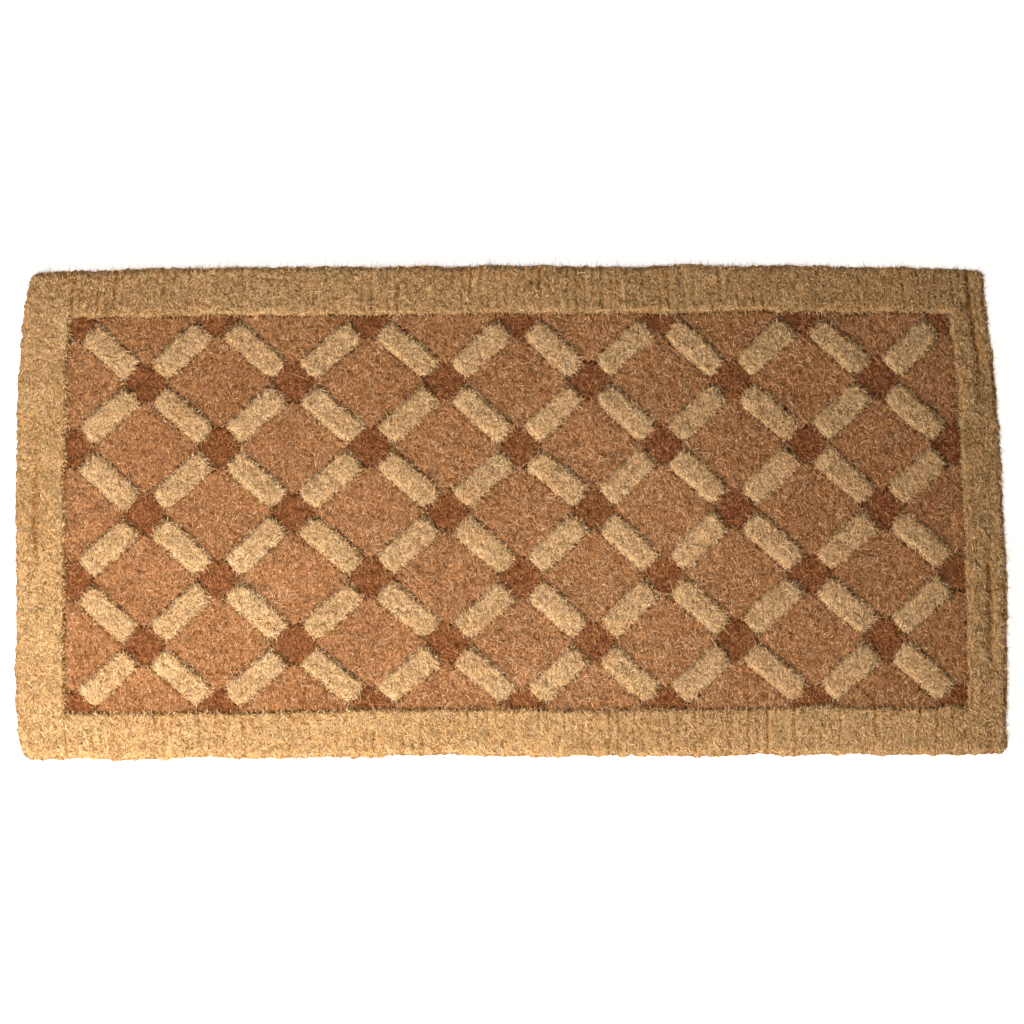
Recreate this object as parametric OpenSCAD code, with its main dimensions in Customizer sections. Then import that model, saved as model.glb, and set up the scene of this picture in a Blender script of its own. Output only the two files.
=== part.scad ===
// Thick hand-woven coir door mat: a base of straight warp and weft yarns, a plaited
// edging sewn round it, and upright coir pile in three fibre colours that is clipped
// flat and carved along the outlines of a diagonal lattice.
// Millimetres. The origin is under the mat's middle, on the floor. +X runs along the
// mat, +Y away from the person who stands at its front edge, +Z up.

/* [Mat] */
// Length of the mat along X
mat_l = 1219; // [900:1:1500]
// Width of the mat along Y
mat_w = 610; // [450:1:750]
// Height of the raised pile above the floor
mat_h = 40; // [30:1:50]
// Radius of the four outer corners
corner_r = 14; // [6:1:20]
// How far the pile hangs out past the edging
overhang = 6; // [2:0.5:10]

/* [Border] */
// Width of the plain border at the left end
border_left = 58; // [45:1:90]
// Width of the plain border at the right end
border_right = 53; // [45:1:90]
// Width of the plain border along the front
border_front = 57; // [45:1:90]
// Width of the plain border along the back
border_back = 61; // [45:1:90]

/* [Lattice] */
// Number of half cells along X, an even number
cols = 12; // [8:2:16]
// Number of half cells along Y, an even number
rows = 6; // [4:2:8]
// Distance from the border to the first lattice line along X
margin_x = 10; // [0:1:15]
// Distance from the border to the first lattice line along Y
margin_y = 4; // [0:1:15]
// Width of the diagonal bands, from panel to panel
band_w = 32; // [20:1:40]
// Length of one raised bar
bar_l = 76; // [50:1:80]
// Corner radius of the raised bars
bar_corner_r = 7; // [2:0.5:9]
// Width of the carved groove between neighbouring pile blocks
carve_w = 2; // [1:0.5:4]
// How far the panels are clipped below the raised pile
panel_drop = 4.5; // [0:0.5:8]
// How far the dark crossings are clipped below the raised pile
crossing_drop = 5.5; // [0:0.5:8]

/* [Base] */
// Thickness of one layer of yarn, three of which make the base
yarn_t = 3.2; // [2:0.1:4]
// Width of one yarn where it lies pressed flat
yarn_w = 5.6; // [4:0.1:7]
// Spacing of the warp chains and of the weft yarns
yarn_pitch = 12; // [10:0.5:14]
// Diameter of the knots that end the warp chains
warp_knot_d = 6.4; // [4:0.1:8]

/* [Edging] */
// Width of the plaited edging, outside to inside
braid_w = 8; // [6:0.5:12]
// Height of one strand of the edging
strand_h = 2.4; // [1.8:0.1:2.4]
// Diameter of the sewing twine
twine_d = 0.8; // [0.5:0.1:0.8]
// Clearance above the stitches, under the overhanging pile
stitch_room = 0.2; // [0.1:0.1:1]

/* [Hidden] */
BARS = [for (r = [1:rows]) str("pile_bars_row_", r)];
CROSSINGS = [for (r = [1:rows + 1]) str("pile_crossings_row_", r)];
PANELS = [for (r = [1:rows + 1]) str("pile_panels_row_", r)];

NATURAL = "#D9AE75";
TAN = "#B07A4C";
BROWN = "#7F4F2B";
YARN = "#A87B45";
BRAID = "#8A6238";
TWINE = "#CDB58C";
ROUND_FN = 64;

base_t = 3 * yarn_t;
base_l = mat_l - 2 * (overhang + braid_w);
base_w = mat_w - 2 * (overhang + braid_w);
chain_l = base_l - 2 * warp_knot_d;
last_warp = floor((base_w - yarn_w) / 2 / yarn_pitch);
last_weft = floor((chain_l - yarn_w) / 2 / yarn_pitch);
stitch_step = 2 * yarn_pitch;
stitch_top = base_t + twine_d;
braid_out_x = base_l / 2 + braid_w;
braid_out_y = base_w / 2 + braid_w;

field_x0 = -mat_l / 2 + border_left;
field_x1 = mat_l / 2 - border_right;
field_y0 = -mat_w / 2 + border_front;
field_y1 = mat_w / 2 - border_back;
pitch_x = (field_x1 - field_x0 - 2 * margin_x) / cols;
pitch_y = (field_y1 - field_y0 - 2 * margin_y) / rows;
diagonal = sqrt(pitch_x * pitch_x + pitch_y * pitch_y);
slant = atan2(pitch_y, pitch_x);
panel_half = pitch_x * pitch_y / diagonal - band_w / 2 - carve_w / 2;
arm_l = diagonal - bar_l - 2 * carve_w;

function grid_x(i) = field_x0 + margin_x + i * pitch_x;
function grid_y(j) = field_y0 + margin_y + j * pitch_y;

// ---- plan shapes ----

module round_rect(l, w, r) {
    square([l - 2 * r, w], center = true);
    square([l, w - 2 * r], center = true);
    for (sx = [-1, 1], sy = [-1, 1])
        translate([sx * (l / 2 - r), sy * (w / 2 - r)]) circle(r, $fn = ROUND_FN);
}

// The mat's outline, moved in from the pile's outer edge by inset
module outline(inset) {
    round_rect(mat_l - 2 * inset, mat_w - 2 * inset, max(corner_r - inset, 2));
}

module span(x0, x1, y0, y1) {
    translate([x0, y0]) square([x1 - x0, y1 - y0]);
}

// The field inside the border, less half a groove
module field() {
    g = carve_w / 2;
    span(field_x0 + g, field_x1 - g, field_y0 + g, field_y1 - g);
}

// ---- base ----

// One yarn, pressed flat so that it lies on a flat face, along X
module yarn(length) {
    r = yarn_t / 2;
    translate([-length / 2, 0, r]) rotate([90, 0, 90]) linear_extrude(length) {
        square([yarn_w - yarn_t, yarn_t], center = true);
        for (s = [-1, 1]) translate([s * (yarn_w / 2 - r), 0]) circle(r, $fn = ROUND_FN);
    }
}

module warp_layer(level) {
    for (k = [-last_warp:last_warp]) translate([0, k * yarn_pitch, level]) yarn(chain_l);
}

module lower_warp_chains() {
    color(YARN) warp_layer(0);
}

module upper_warp_chains() {
    color(YARN) warp_layer(2 * yarn_t);
}

// Weft yarns at every second place: the ground weft, and the weft that locks the tufts
module weft_layer(first) {
    for (k = [first:2:last_weft])
        translate([k * yarn_pitch, 0, yarn_t]) rotate([0, 0, 90]) yarn(base_w);
}

module ground_weft() {
    color(YARN) weft_layer(-last_weft);
}

module locking_weft() {
    color(YARN) weft_layer(1 - last_weft);
}

// The upper and lower chain of each warp are knotted together past the last weft
module warp_end_knots(side) {
    for (k = [-last_warp:last_warp])
        translate([side * (chain_l + warp_knot_d) / 2, k * yarn_pitch, base_t / 2])
            color(YARN) sphere(d = warp_knot_d, $fn = 32);
}

// ---- edging ----

// Three strands on top of each other. The twine passes over the lowest strand.
module strands() {
    for (level = [0, strand_h + 2 * twine_d, base_t - strand_h])
        translate([0, 0, level]) linear_extrude(strand_h) children();
}

// The long lengths go round the corners, and the short ones lie between them
module edge_braid_long(side) {
    y_in = side * base_w / 2;
    y_out = side * braid_out_y;
    color(BRAID) strands() intersection() {
        outline(overhang);
        span(-braid_out_x, braid_out_x, min(y_in, y_out), max(y_in, y_out));
    }
}

module edge_braid_short(side) {
    x_in = side * base_l / 2;
    x_out = side * braid_out_x;
    color(BRAID) strands()
        span(min(x_in, x_out), max(x_in, x_out), -base_w / 2, base_w / 2);
}

// One closed loop of twine in the YZ plane round the edging and the outermost yarn,
// with y measured outward from the inner leg
module stitch(reach, low) {
    rotate([90, 0, 90]) linear_extrude(twine_d, center = true) difference() {
        translate([-twine_d / 2, low]) square([reach + twine_d, stitch_top - low]);
        translate([twine_d / 2, low + twine_d])
            square([reach - twine_d, stitch_top - low - 2 * twine_d]);
    }
}

// Along the front and back the twine goes over the lower warp and round the upper one
module edge_stitches_long(side) {
    inner = (last_warp - 0.5) * yarn_pitch;
    last = floor(base_l / 2 / stitch_step) - 2;
    for (m = [-last - 1:last])
        translate([(2 * m + 0.5) * yarn_pitch, side * inner, 0])
            rotate([0, 0, side > 0 ? 0 : 180])
                color(TWINE) stitch(braid_out_y - inner + twine_d / 2, yarn_t);
}

// At the ends it goes between the warp chains, under the last weft
module edge_stitches_short(side) {
    inner = (last_weft - 0.5) * yarn_pitch;
    last = floor(base_w / 2 / stitch_step) - 2;
    for (m = [-last - 1:last])
        translate([side * inner, (2 * m + 0.5) * yarn_pitch, 0])
            rotate([0, 0, -side * 90])
                color(TWINE) stitch(braid_out_x - inner + twine_d / 2, yarn_t - twine_d);
}

// ---- pile ----

// A block of pile that stands on the base
module pile(top) {
    translate([0, 0, base_t]) linear_extrude(top - base_t) children();
}

// Border pile: it stands on the base, and its outer part hangs over the edging
module border_pile(x0, x1, y0, y1) {
    level = stitch_top + stitch_room;
    stand = overhang + braid_w + 2 * yarn_pitch;
    color(NATURAL) {
        translate([0, 0, level]) linear_extrude(mat_h - level) intersection() {
            outline(0);
            span(x0, x1, y0, y1);
        }
        translate([0, 0, base_t]) linear_extrude(level - base_t) intersection() {
            square([mat_l - 2 * stand, mat_w - 2 * stand], center = true);
            span(x0, x1, y0, y1);
        }
    }
}

module pile_border_left() {
    border_pile(-mat_l / 2, field_x0, -mat_w / 2, mat_w / 2);
}

module pile_border_right() {
    border_pile(field_x1, mat_l / 2, -mat_w / 2, mat_w / 2);
}

module pile_border_front() {
    border_pile(field_x0, field_x1, -mat_w / 2, field_y0);
}

module pile_border_back() {
    border_pile(field_x0, field_x1, field_y1, mat_w / 2);
}

// One raised bar in every half cell, leaning left and right by turns
module pile_bars_row(r) {
    color(NATURAL) pile(mat_h) for (i = [0:cols - 1])
        translate([(grid_x(i) + grid_x(i + 1)) / 2, (grid_y(r - 1) + grid_y(r)) / 2])
            rotate((i + r - 1) % 2 == 0 ? slant : -slant)
                round_rect(bar_l, band_w - carve_w, bar_corner_r);
}

// Dark crossings, where two bands meet between the ends of four bars
module pile_crossings_row(r) {
    color(BROWN) pile(mat_h - crossing_drop) intersection() {
        field();
        for (i = [(r - 1) % 2:2:cols])
            translate([grid_x(i), grid_y(r - 1)])
                for (angle = [-slant, slant])
                    rotate(angle) square([arm_l, band_w - carve_w], center = true);
    }
}

// Tan panels, bounded by four bands
module pile_panels_row(r) {
    tip_x = panel_half / sin(slant);
    tip_y = panel_half / cos(slant);
    color(TAN) pile(mat_h - panel_drop) intersection() {
        field();
        for (i = [r % 2:2:cols])
            translate([grid_x(i), grid_y(r - 1)])
                polygon([[tip_x, 0], [0, tip_y], [-tip_x, 0], [0, -tip_y]]);
    }
}

lower_warp_chains();
upper_warp_chains();
ground_weft();
locking_weft();
warp_end_knots(-1);  // warp_end_knots_left
warp_end_knots(1);  // warp_end_knots_right
edge_braid_long(-1);  // edge_braid_front
edge_braid_long(1);  // edge_braid_back
edge_braid_short(-1);  // edge_braid_left
edge_braid_short(1);  // edge_braid_right
edge_stitches_long(-1);  // edge_stitches_front
edge_stitches_long(1);  // edge_stitches_back
edge_stitches_short(-1);  // edge_stitches_left
edge_stitches_short(1);  // edge_stitches_right
pile_border_front();
pile_border_back();
pile_border_left();
pile_border_right();
for (r = [1:rows]) pile_bars_row(r);
for (r = [1:rows + 1]) pile_crossings_row(r);
for (r = [1:rows + 1]) pile_panels_row(r);
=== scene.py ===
"""A thick hand-woven coir door mat: clipped and carved pile on a woven base with a plaited edging.

The plan of the pile is worked out as depth fields, positive inside a shape, in the CAD model's own
coordinates. One fine grid over the mat is cut into blocks by those fields, raised to the height of
the clipped pile, and then moved by up to 16 mm by hand_made(), because a hand-woven mat is never
quite square. Loose and upright fibres are grown from the same surface. Lengths are in metres.
"""

import functools
import math

import bpy
import numpy as np
from mathutils import Matrix, Vector


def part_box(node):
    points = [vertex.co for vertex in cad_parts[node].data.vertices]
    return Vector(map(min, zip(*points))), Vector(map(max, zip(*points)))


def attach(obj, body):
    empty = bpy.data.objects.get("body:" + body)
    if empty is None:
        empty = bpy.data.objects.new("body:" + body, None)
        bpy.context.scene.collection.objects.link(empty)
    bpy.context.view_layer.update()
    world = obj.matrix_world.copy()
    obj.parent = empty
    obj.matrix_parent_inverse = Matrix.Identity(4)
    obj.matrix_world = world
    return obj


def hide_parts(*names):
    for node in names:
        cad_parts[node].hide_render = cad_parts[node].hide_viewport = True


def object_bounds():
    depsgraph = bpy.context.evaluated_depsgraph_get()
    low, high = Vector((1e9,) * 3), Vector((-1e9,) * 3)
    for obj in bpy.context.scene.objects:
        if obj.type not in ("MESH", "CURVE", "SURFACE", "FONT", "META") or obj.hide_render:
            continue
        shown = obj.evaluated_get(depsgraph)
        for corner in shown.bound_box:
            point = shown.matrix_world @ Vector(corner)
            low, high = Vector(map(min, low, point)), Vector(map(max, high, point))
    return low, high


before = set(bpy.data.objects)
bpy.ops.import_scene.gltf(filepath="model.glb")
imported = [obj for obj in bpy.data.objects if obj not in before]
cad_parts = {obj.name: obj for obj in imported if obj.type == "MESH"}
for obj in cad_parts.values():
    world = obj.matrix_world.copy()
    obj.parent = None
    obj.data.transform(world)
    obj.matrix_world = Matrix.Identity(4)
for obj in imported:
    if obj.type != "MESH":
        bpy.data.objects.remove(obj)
cad_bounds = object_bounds()

MM = 0.001
SEED = 20

# ---- the frame's measures ----

HALF_L, HALF_W, RAISED_TOP = cad_bounds[1]
FIELD_LOW = np.array([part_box("pile_border_left")[1].x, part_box("pile_border_front")[1].y])
FIELD_HIGH = np.array([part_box("pile_border_right")[0].x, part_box("pile_border_back")[0].y])
BASE_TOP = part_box("upper_warp_chains")[1].z
PANEL_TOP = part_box("pile_panels_row_1")[1].z
CROSSING_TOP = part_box("pile_crossings_row_1")[1].z
BRAID_IN_X, BRAID_OUT_X = (corner.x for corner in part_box("edge_braid_right"))
BRAID_IN_Y, BRAID_OUT_Y = (corner.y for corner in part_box("edge_braid_back"))

# ---- the plan of the pile ----

COLS = 12
ROWS = 6
MARGIN = np.array([10, 4]) * MM
PITCH = (FIELD_HIGH - FIELD_LOW - 2 * MARGIN) / (COLS, ROWS)
GRID_LOW = FIELD_LOW + MARGIN
DIAGONAL = math.hypot(*PITCH)
COS, SIN = PITCH / DIAGONAL
CARVE = 2 * MM
BAND_W = 32 * MM
BAR_L = 76 * MM
BAR_CORNER = 10 * MM
ARM_L = DIAGONAL - BAR_L - 2 * CARVE
PANEL_HALF = PITCH[0] * PITCH[1] / DIAGONAL - BAND_W / 2 - CARVE / 2
CORNER_R = 14 * MM

BORDER, BAR, CROSSING, PANEL = range(4)
TOPS = {BORDER: RAISED_TOP - 1.5 * MM, BAR: RAISED_TOP - 1 * MM, CROSSING: CROSSING_TOP, PANEL: PANEL_TOP}
# How far in and how deep the shears round a block off towards its edge
SHOULDERS = {
    BORDER: (5 * MM, 5 * MM),
    BAR: (5 * MM, 5.5 * MM),
    CROSSING: (3 * MM, 1.5 * MM),
    PANEL: (3.5 * MM, 2.2 * MM),
}
# Painted shade: how much the cut sides of a block are drawn darker than its top
EDGE_SHADES = {BORDER: 0.08, BAR: 0.03, CROSSING: 0.4, PANEL: 0.45}
# Panels and crossings carry painted shade in a strip along the raised border
FIELD_EDGE_SHADE = 0.9
FIELD_EDGE = (1 * MM, 7 * MM)
OUTER_SHOULDER = (9 * MM, 9 * MM)


def rounded_box_depth(u, v, half_u, half_v, radius):
    """Depth inside a box with rounded corners, negative outside it."""
    past_u = np.abs(u) - half_u + radius
    past_v = np.abs(v) - half_v + radius
    outside = np.hypot(np.maximum(past_u, 0), np.maximum(past_v, 0))
    return radius - outside - np.minimum(np.maximum(past_u, past_v), 0)


def outline_depth(x, y):
    return rounded_box_depth(x, y, HALF_L, HALF_W, CORNER_R)


def field_depth(x, y):
    middle = (FIELD_LOW + FIELD_HIGH) / 2
    half = (FIELD_HIGH - FIELD_LOW) / 2
    return rounded_box_depth(x - middle[0], y - middle[1], half[0], half[1], 0)


def border_depth(x, y):
    return np.minimum(outline_depth(x, y), -field_depth(x, y))


def cell_of(x, y):
    i = np.clip(np.floor((x - GRID_LOW[0]) / PITCH[0]), 0, COLS - 1).astype(int)
    j = np.clip(np.floor((y - GRID_LOW[1]) / PITCH[1]), 0, ROWS - 1).astype(int)
    return i, j


def point_of(x, y, parity):
    """The nearest lattice point whose two counts add up to an even (0) or odd (1) number."""
    a = (x - GRID_LOW[0]) / PITCH[0] - parity
    b = (y - GRID_LOW[1]) / PITCH[1]
    s = np.round((a + b) / 2).astype(int)
    t = np.round((a - b) / 2).astype(int)
    return s + t + parity, s - t


def from_point(x, y, i, j):
    return x - GRID_LOW[0] - i * PITCH[0], y - GRID_LOW[1] - j * PITCH[1]


def bar_depth(x, y):
    i, j = cell_of(x, y)
    dx, dy = from_point(x, y, i + 0.5, j + 0.5)
    lean = np.where((i + j) % 2 == 0, SIN, -SIN)
    return rounded_box_depth(
        dx * COS + dy * lean, dy * COS - dx * lean, BAR_L / 2, (BAND_W - CARVE) / 2, BAR_CORNER
    )


def crossing_depth(x, y):
    dx, dy = from_point(x, y, *point_of(x, y, 0))
    arms = [
        rounded_box_depth(dx * COS + dy * s, dy * COS - dx * s, ARM_L / 2, (BAND_W - CARVE) / 2, CARVE)
        for s in (SIN, -SIN)
    ]
    return np.minimum(np.maximum(*arms), field_depth(x, y) - CARVE / 2)


def panel_depth(x, y):
    dx, dy = from_point(x, y, *point_of(x, y, 1))
    reach = np.maximum(np.abs(dy * COS - dx * SIN), np.abs(dy * COS + dx * SIN))
    return np.minimum(PANEL_HALF - reach, field_depth(x, y) - CARVE / 2)


DEPTHS = {BORDER: border_depth, BAR: bar_depth, CROSSING: crossing_depth, PANEL: panel_depth}
BORDER_SIDES = ("front", "back", "left", "right")


def unit(v):
    return v / np.linalg.norm(v, axis=-1, keepdims=True)


def slope(depth, x, y, e):
    """How fast a depth grows along X and along Y, measured over 2 * e."""
    along_x = (depth(x + e, y) - depth(x - e, y)) / (2 * e)
    along_y = (depth(x, y + e) - depth(x, y - e)) / (2 * e)
    return along_x, along_y


def by_kind(table, kind):
    """What a table holds for each point's kind of pile."""
    return np.array([table[k] for k in range(4)])[kind]


def kind_and_row(x, y):
    """Which kind of pile stands at a point, and which row or side of it, from 0."""
    depths = np.stack([DEPTHS[k](x, y) for k in range(4)])
    kind = depths.argmax(0)
    row = np.where(y < 0, 0, 1)
    row = np.where(x < FIELD_LOW[0], 2, np.where(x > FIELD_HIGH[0], 3, row))
    row = np.where(kind == BAR, cell_of(x, y)[1], row)
    row = np.where(kind == CROSSING, point_of(x, y, 0)[1], row)
    row = np.where(kind == PANEL, point_of(x, y, 1)[1], row)
    return kind, row, depths.max(0)


# ---- noise and tufts ----

TABLE_N = 512


def seeded(seed):
    return np.random.default_rng(SEED + seed)


def random_table(seed, *shape):
    return seeded(seed).uniform(-1, 1, (TABLE_N, TABLE_N, *shape))


def smooth_noise(x, y, size, seed):
    """Smooth noise from -1 to 1 that changes over about size."""
    table = random_table(seed)
    u, v = x / size + 97, y / size + 97
    i, j = np.floor(u).astype(int), np.floor(v).astype(int)
    fu, fv = u - i, v - j
    fu, fv = fu * fu * (3 - 2 * fu), fv * fv * (3 - 2 * fv)
    i0, i1, j0, j1 = i % TABLE_N, (i + 1) % TABLE_N, j % TABLE_N, (j + 1) % TABLE_N
    low = table[i0, j0] * (1 - fu) + table[i1, j0] * fu
    high = table[i0, j1] * (1 - fu) + table[i1, j1] * fu
    return low * (1 - fv) + high * fv


def smoothstep(low, high, value):
    t = np.clip((value - low) / (high - low), 0, 1)
    return t * t * (3 - 2 * t)


ROW_PITCH = 11 * MM
TUFT_PITCH = 8 * MM
TUFT_JITTER = 0.28
TUFT_TABLE = random_table(1, 4)


def tuft_centre(i, j):
    """Middle of tuft j in pile row i, both in metres; the rows run along Y."""
    jitter = TUFT_TABLE[i % TABLE_N, j % TABLE_N]
    x = (i + 0.5 + TUFT_JITTER * 0.7 * jitter[..., 0]) * ROW_PITCH
    y = (j + 0.5 + 0.5 * (i % 2) + TUFT_JITTER * jitter[..., 1]) * TUFT_PITCH
    return x, y


def nearest_tuft(x, y):
    """The tuft that a point belongs to, and how far inside the tuft's own ground it is."""
    first = np.full(x.shape, np.inf)
    second = np.full(x.shape, np.inf)
    best_i = np.zeros(x.shape, int)
    best_j = np.zeros(x.shape, int)
    base_i = np.floor(x / ROW_PITCH).astype(int)
    for di in (-1, 0, 1):
        i = base_i + di
        base_j = np.floor(y / TUFT_PITCH - 0.5 * (i % 2)).astype(int)
        for dj in (-1, 0, 1):
            j = base_j + dj
            cx, cy = tuft_centre(i, j)
            distance = np.hypot(x - cx, y - cy)
            closer = distance < first
            second = np.where(closer, first, np.minimum(second, distance))
            best_i = np.where(closer, i, best_i)
            best_j = np.where(closer, j, best_j)
            first = np.where(closer, distance, first)
    return best_i, best_j, second - first


# ---- height of the clipped pile ----

TUFT_CREASE_W = 2.2 * MM
TUFT_CREASE = 0.5 * MM
TUFT_UNEVEN = 0.5 * MM
ROW_CREASE_W = 3.2 * MM
ROW_CREASE = 2.0 * MM
SPLAY_AT = 23 * MM
SPLAY_CREASE_W = 4 * MM
SPLAY_CREASE = 3 * MM
# The border's pile leans outwards, so its top falls a little towards the rim
BORDER_SLOPE = 0.09
RIB_PITCH = 16.5 * MM
RIB_HEIGHT = 0.8 * MM


def row_creases(x, y):
    """Depth of the creases between pile rows, and of the one where the outer rows splay outwards."""
    shift = 1.6 * MM * smooth_noise(x, y, 30 * MM, 11)
    row = (x + shift) / ROW_PITCH
    near = np.abs(row - np.round(row)) * ROW_PITCH
    depth = random_table(12)[np.round(row).astype(int) % TABLE_N, 0] * 0.5 + 0.5
    broken = smoothstep(-0.8, 0.5, smooth_noise(x * 0.2, y, 26 * MM, 13))
    ordinary = depth ** 2 * broken * (1 - smoothstep(0, ROW_CREASE_W, near))
    splay_at = HALF_L - SPLAY_AT + 2.5 * MM * smooth_noise(x, y, 90 * MM, 14)
    along = smoothstep(-0.35, 0.35, smooth_noise(np.sign(x) * 0.5, y, 120 * MM, 15) + 0.5 * np.sign(x))
    splay = along * np.exp(-(((np.abs(x) - splay_at) / SPLAY_CREASE_W) ** 2))
    return ROW_CREASE * ordinary, SPLAY_CREASE * splay


def rounded_off(depth, reach, drop):
    """How far the surface falls near an edge, as a quarter of an ellipse."""
    t = np.clip(depth / reach, 0, 1)
    return drop * (1 - np.sqrt(1 - (1 - t) ** 2))


def back_ribs(x, y):
    """Shallow ribs across the back border, where its pile rows part towards the rim."""
    here_and_there = smoothstep(-0.6, 0.4, smooth_noise(x, y * 0, 180 * MM, 16))
    part = smoothstep(FIELD_HIGH[1], HALF_W, y) * here_and_there
    shift = 3 * MM * smooth_noise(x, y, 50 * MM, 17)
    return RIB_HEIGHT * part * (1 + np.cos(2 * np.pi * (x + shift) / RIB_PITCH))


def pile_surface(x, y, kind, depth):
    """Height of the clipped pile, the tone of its tuft from -1 to 1, and the crease shade from 0 to 1."""
    top = by_kind(TOPS, kind)
    reach, drop = np.moveaxis(by_kind(SHOULDERS, kind), -1, 0)
    ragged = 0.5 * MM * smooth_noise(x, y, 4 * MM, 21)
    depth = np.where(kind == BORDER, np.maximum(-field_depth(x, y), 0), depth)
    fall = rounded_off(depth + ragged, reach, drop)
    outer = rounded_off(np.maximum(outline_depth(x, y), 0) + ragged, *OUTER_SHOULDER)
    beyond = np.maximum(-field_depth(x, y), 0)
    fall = np.where(kind == BORDER, np.maximum(fall, outer) + BORDER_SLOPE * beyond, fall)
    fall = fall + back_ribs(x, y)
    i, j, inside = nearest_tuft(x, y)
    tuft = TUFT_TABLE[i % TABLE_N, j % TABLE_N]
    crease = 1 - smoothstep(0, TUFT_CREASE_W, inside)
    rows, splay = row_creases(x, y)
    rows = np.where(kind == BORDER, rows, 0.2 * rows)
    splay = np.where(kind == BORDER, splay, 0)
    z = top - fall - TUFT_CREASE * crease - rows - splay + TUFT_UNEVEN * tuft[..., 2]
    z = z + 0.8 * MM * smooth_noise(x, y, 45 * MM, 22) + 0.4 * MM * smooth_noise(x, y, 3 * MM, 23)
    edge = by_kind(EDGE_SHADES, kind) * (1 - smoothstep(0, 1.3 * reach, depth))
    at_border = (kind == PANEL) | (kind == CROSSING)
    edge = edge + FIELD_EDGE_SHADE * at_border * (1 - smoothstep(*FIELD_EDGE, field_depth(x, y)))
    edge = edge * (0.6 + 0.4 * smooth_noise(x, y, 9 * MM, 24))
    # Painted shade: darker in tuft and row creases, in the splay crease and near block edges
    shade = np.clip(0.3 * crease + rows / ROW_CREASE + splay / SPLAY_CREASE + edge, 0, 1)
    return z, tuft[..., 3], shade


# ---- how hand work left the mat's plan ----

LEFT_PULL = 14 * MM
RIGHT_PULL = 17 * MM
RIGHT_FRONT_PULL = 8 * MM
LEFT_WAIST_Y = -20 * MM
# The right end is longest at its waist, and draws in from there over these lengths
WAIST_Y = -40 * MM
WAIST_TO_BACK = 320 * MM
WAIST_TO_FRONT = 240 * MM
WAIST_BULGE = 2.5 * MM
BACK_ARCH = 6.5 * MM
FRONT_SKEW = 10 * MM
LATTICE_DRIFT = 4 * MM
DRIFT_LENGTH = 7 * PITCH[0]
DRIFT_START = GRID_LOW[0] + 3.8 * PITCH[0]


def end_pull(x, y):
    """How far the ends of the mat draw in: the left at both corners, the right mostly at the back."""
    left = LEFT_PULL * ((y - LEFT_WAIST_Y) / (HALF_W + 10 * MM)) ** 4 + 0.5 * MM
    back = y > WAIST_Y
    reach = np.abs(y - WAIST_Y) / np.where(back, WAIST_TO_BACK, WAIST_TO_FRONT)
    right = np.where(back, RIGHT_PULL, RIGHT_FRONT_PULL) * reach ** 1.3 - WAIST_BULGE
    return np.where(x < 0, left, right)


def hand_made(x, y):
    """Moves plan points from where the drawing has them to where the weaver left them."""
    across = np.abs(x) / HALF_L
    drift = LATTICE_DRIFT * np.sin(2 * np.pi * (x - DRIFT_START) / DRIFT_LENGTH) * (1 - across ** 6)
    arch = 0.5 * MM - BACK_ARCH * across ** 2
    skew = FRONT_SKEW * np.clip(0.5 - x / (2 * HALF_L), 0, 1)
    new_x = x - np.sign(x) * across ** 3 * end_pull(x, y) + drift
    new_y = y + arch * np.clip((y - 0.65 * HALF_W) / (0.35 * HALF_W), 0, 1) ** 2
    new_y = new_y + 1.5 * MM * smoothstep(-1, 1, y / HALF_W) + skew * np.clip(-y / HALF_W, 0, 1) ** 2
    for size, reach, seed in ((120, 2.0, 31), (38, 1.2, 33), (13, 0.6, 35)):
        new_x = new_x + reach * MM * smooth_noise(x, y, size * MM, seed)
        new_y = new_y + reach * MM * smooth_noise(x, y, size * MM, seed + 1)
    return new_x, new_y


# ---- meshes ----


def mesh_object(name, points, faces, materials, indices=None):
    """A mesh object from an array of points and a list of face arrays, one for each corner count."""
    mesh = bpy.data.meshes.new(name)
    corners = np.concatenate([np.asarray(f).ravel() for f in faces]).astype(np.int32)
    counts = np.concatenate([np.full(len(f), np.asarray(f).shape[1]) for f in faces])
    mesh.vertices.add(len(points))
    mesh.vertices.foreach_set("co", np.asarray(points, np.float32).ravel())
    mesh.loops.add(len(corners))
    mesh.loops.foreach_set("vertex_index", corners)
    mesh.polygons.add(len(counts))
    mesh.polygons.foreach_set("loop_start", np.concatenate([[0], np.cumsum(counts)[:-1]]).astype(np.int32))
    mesh.polygons.foreach_set("use_smooth", np.full(len(counts), True))
    for material in materials:
        mesh.materials.append(material)
    if indices is not None:
        mesh.polygons.foreach_set("material_index", indices.astype(np.int32))
    mesh.update(calc_edges=True)
    mesh.validate()
    piece = bpy.data.objects.new(name, mesh)
    bpy.context.scene.collection.objects.link(piece)
    return piece


def add_attribute(piece, name, values):
    attribute = piece.data.attributes.new(name, "FLOAT", "POINT")
    attribute.data.foreach_set("value", np.asarray(values, np.float32))


def declare(piece, slot, *nodes):
    """Every piece rides on the one body; the first piece made for a node also stands for it."""
    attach(piece, "root")
    if nodes:
        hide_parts(*nodes)


# ---- materials ----

NATURAL = (0.595, 0.392, 0.187)
BAR_NATURAL = (0.657, 0.452, 0.24)
TAN = (0.444, 0.217, 0.094)
BROWN = (0.28, 0.106, 0.041)
# Painted shade: the warm browns the pile is drawn towards in its creases
CREASE_SHADE_NATURAL = (0.30, 0.115, 0.026)
CREASE_SHADE_TAN = (0.22, 0.068, 0.014)
CREASE_SHADE_BROWN = (0.12, 0.032, 0.007)
# The palest fibres lean towards straw
STRAW = (0.72, 0.53, 0.32)
TAN_STRAW = (0.60, 0.33, 0.15)
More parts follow.
